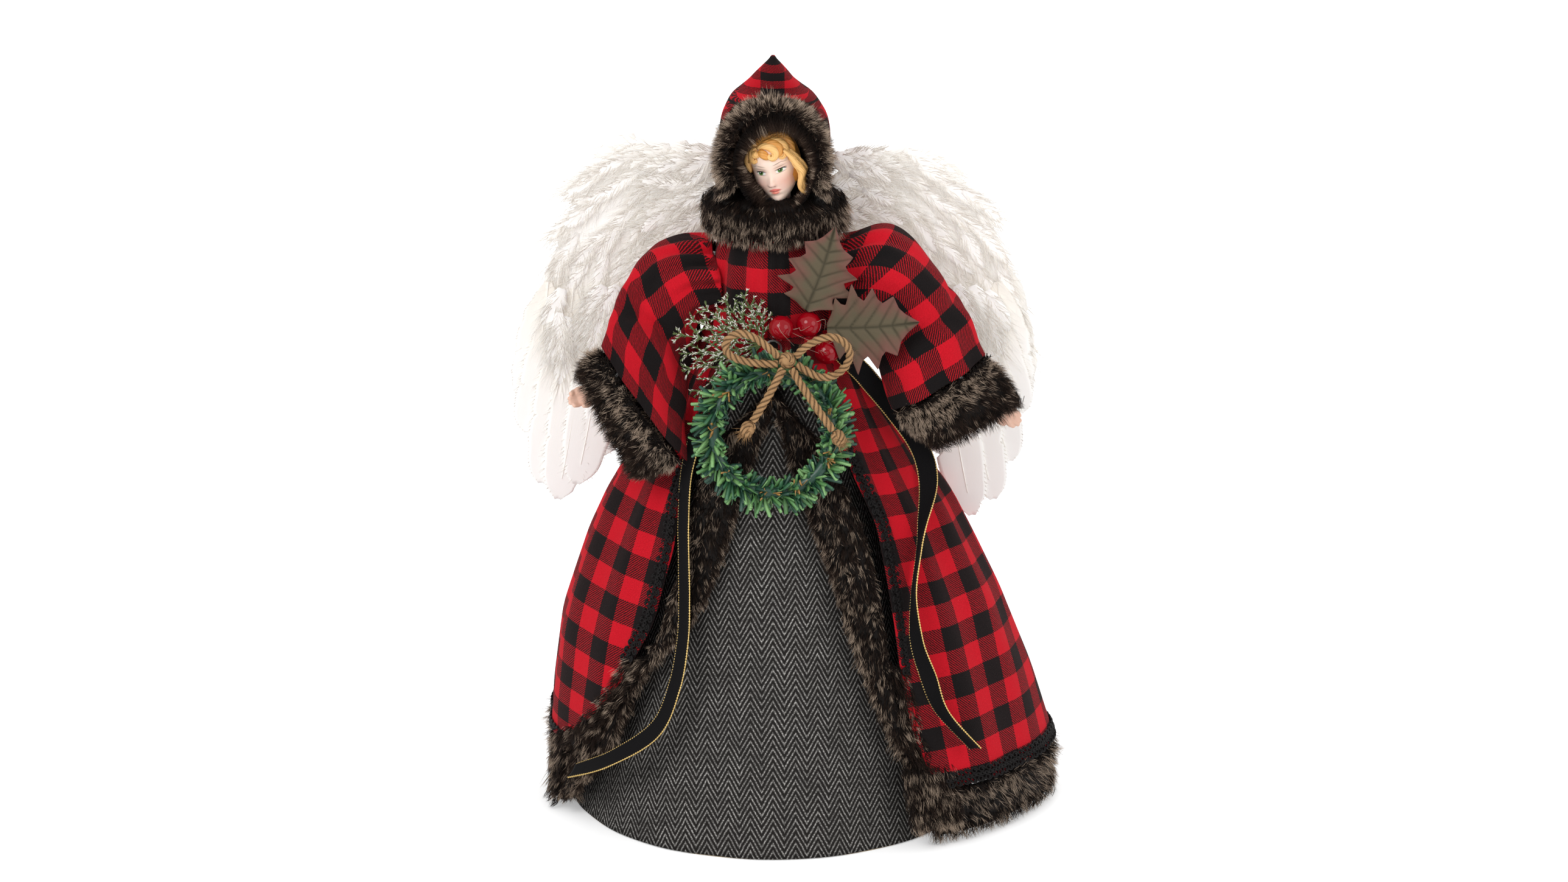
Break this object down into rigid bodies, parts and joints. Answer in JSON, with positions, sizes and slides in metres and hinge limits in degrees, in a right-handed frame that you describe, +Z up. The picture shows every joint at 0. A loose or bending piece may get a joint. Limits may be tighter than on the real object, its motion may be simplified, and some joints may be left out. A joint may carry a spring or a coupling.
{
  "type": "angel tree topper",
  "caption": "Winged doll tree topper in a hooded plaid coat with fur trim over a herringbone cone skirt, wire arms, wreath with twine bow, berries and leaves.",
  "frame": {"origin": "centre of the cone's open base, on the plane it stands on", "axes": "+Z up through the doll's head, -Y towards the front, +X to the viewer's right"},
  "size_m": [0.2797, 0.2353, 0.404],
  "materials": {
    "paperboard": "matt",
    "tweed": "woven herringbone",
    "foam": "matt",
    "plaid": "brushed cotton, buffalo check",
    "faux_fur": "long pile, pale tips",
    "braid": "scroll gimp",
    "porcelain": "painted bisque",
    "hair": "mohair",
    "wire": "plain",
    "padding": "cotton wadding",
    "down": "fluffy down",
    "feather": "smooth vane",
    "velvet_ribbon": "velvet with gold wired edges",
    "garland": "cut film needles",
    "jute": "twisted twine",
    "cedar": "flocked with snow",
    "leaf": "printed veins",
    "berry": "glossy lacquer"
  },
  "bodies": {
    "doll": {"cone_form": "paperboard", "skirt": "tweed", "torso_core": "foam", "coat_body": "plaid", "coat_fur_front_left": "faux_fur", "coat_fur_front_right": "faux_fur", "coat_fur_hem": "faux_fur", "coat_braid_left": "braid", "coat_braid_right": "braid", "coat_braid_hem": "braid", "fur_collar": "faux_fur", "head": "porcelain", "hair": "hair", "hood_shell": "plaid", "hood_fur": "faux_fur", "left_wing_down": "down", "left_wing_feather_1": "feather", "left_wing_feather_2": "feather", "left_wing_feather_3": "feather", "left_wing_feather_4": "feather", "left_wing_feather_5": "feather", "left_ribbon": "velvet_ribbon", "right_wing_down": "down", "right_wing_feather_1": "feather", "right_wing_feather_2": "feather", "right_wing_feather_3": "feather", "right_wing_feather_4": "feather", "right_wing_feather_5": "feather", "right_ribbon": "velvet_ribbon", "wing_card": "paperboard", "cedar_sprig": "cedar", "holly_leaf_upper": "leaf", "holly_leaf_side": "leaf", "berry_1": "berry", "berry_2": "berry", "berry_3": "berry"},
    "left_arm": {"left_arm_wire": "wire", "left_arm_padding": "padding", "left_sleeve": "plaid", "left_cuff_fur": "faux_fur", "left_hand": "porcelain"},
    "right_arm": {"right_arm_wire": "wire", "right_arm_padding": "padding", "right_sleeve": "plaid", "right_cuff_fur": "faux_fur", "right_hand": "porcelain"},
    "wreath": {"wreath": "garland", "wreath_hanger": "wire", "jute_knot": "jute", "jute_loop_left": "jute", "jute_loop_right": "jute", "jute_tail_left": "jute", "jute_tail_right": "jute", "jute_tail_knot_left": "jute", "jute_tail_knot_right": "jute"}
  },
  "joints": [
    {"name": "left_arm_lift", "type": "hinge", "parent": "doll", "child": "left_arm", "pos_m": [-0.03, 0, 0.297], "axis": [0, 1, 0], "range_deg": [0, 25]},
    {"name": "right_arm_lift", "type": "hinge", "parent": "doll", "child": "right_arm", "pos_m": [0.03, 0, 0.297], "axis": [0, -1, 0], "range_deg": [0, 25]},
    {"name": "wreath_swing", "type": "hinge", "parent": "doll", "child": "wreath", "pos_m": [0, -0.0351, 0.262], "axis": [-1, 0, 0], "range_deg": [0, 20]}
  ]
}
